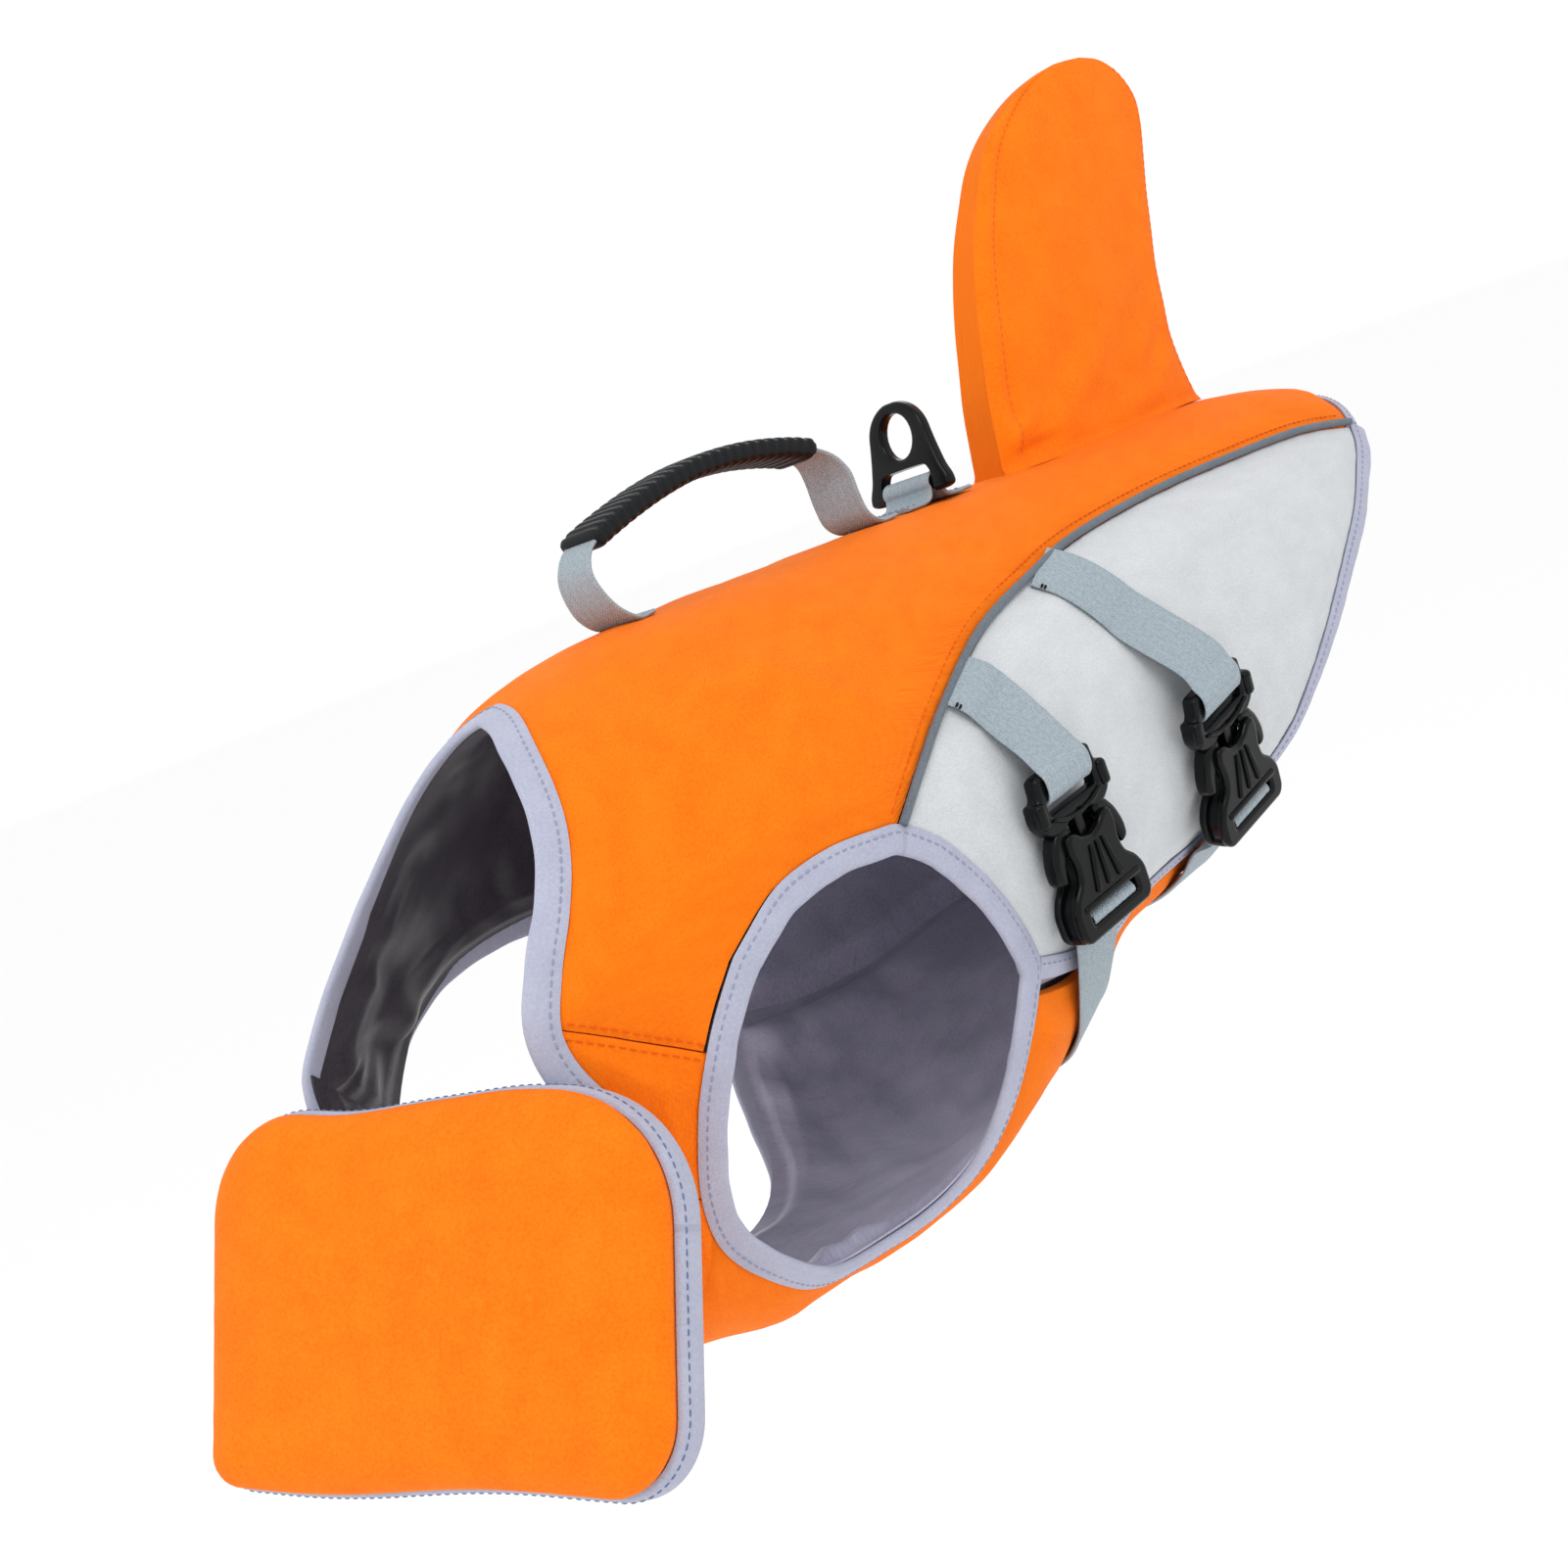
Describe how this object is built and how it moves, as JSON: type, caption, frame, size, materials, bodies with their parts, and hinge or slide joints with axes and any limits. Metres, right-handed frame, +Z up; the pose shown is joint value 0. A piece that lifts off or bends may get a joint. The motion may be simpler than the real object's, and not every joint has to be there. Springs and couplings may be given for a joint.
{
  "type": "dog life jacket",
  "caption": "Dog life jacket with a foam back, pale side panels, a chest float, a dorsal fin, buckled belly straps, a grab handle and a lead ring.",
  "frame": {"origin": "on the lining at the middle of the back, where the wearer's back carries the jacket", "axes": "+X to the tail, +Y to the wearer's right, +Z up"},
  "size_m": [0.5924, 0.196, 0.3781],
  "materials": {
    "orange_cloth": "orange oxford weave over foam",
    "grey_cloth": "pale grey oxford weave over foam",
    "lining_cloth": "smooth dark purple-grey lining",
    "tape_cloth": "lavender-grey folded tape",
    "piping_cloth": "dark grey piping",
    "webbing": "blue-grey woven webbing",
    "black_plastic": "black moulded plastic",
    "black_rubber": "black ribbed rubber"
  },
  "bodies": {
    "jacket": {"back_panel": "orange_cloth", "back_lining": "lining_cloth", "strap_end_left": "orange_cloth", "strap_end_right": "orange_cloth", "strap_lining_left": "lining_cloth", "strap_lining_right": "lining_cloth", "side_panel_left": "grey_cloth", "side_panel_right": "grey_cloth", "side_lining_left": "lining_cloth", "side_lining_right": "lining_cloth", "belly_panel": "orange_cloth", "belly_lining": "lining_cloth", "neck_binding": "tape_cloth", "leg_binding_left": "tape_cloth", "leg_binding_right": "tape_cloth", "hem_binding_left": "tape_cloth", "hem_binding_right": "tape_cloth", "tail_binding": "tape_cloth", "belly_binding": "tape_cloth", "piping_left": "piping_cloth", "piping_right": "piping_cloth", "buckle_latch_front": "black_plastic", "buckle_latch_rear": "black_plastic", "buckle_socket_front": "black_plastic", "buckle_socket_rear": "black_plastic", "strap_upper_front": "webbing", "strap_upper_rear": "webbing", "strap_lower_front": "webbing", "strap_lower_rear": "webbing", "chest_float": "orange_cloth", "float_binding": "tape_cloth", "fin": "orange_cloth", "handle_strap": "webbing", "handle_grip": "black_rubber", "ring_tab": "webbing"},
    "ring": {"lead_ring": "black_plastic"}
  },
  "joints": [
    {"name": "ring_swing", "type": "hinge", "parent": "jacket", "child": "ring", "pos_m": [0.007, 0, 0.0156], "axis": [0, 1, 0], "range_deg": [-75, 80]}
  ]
}
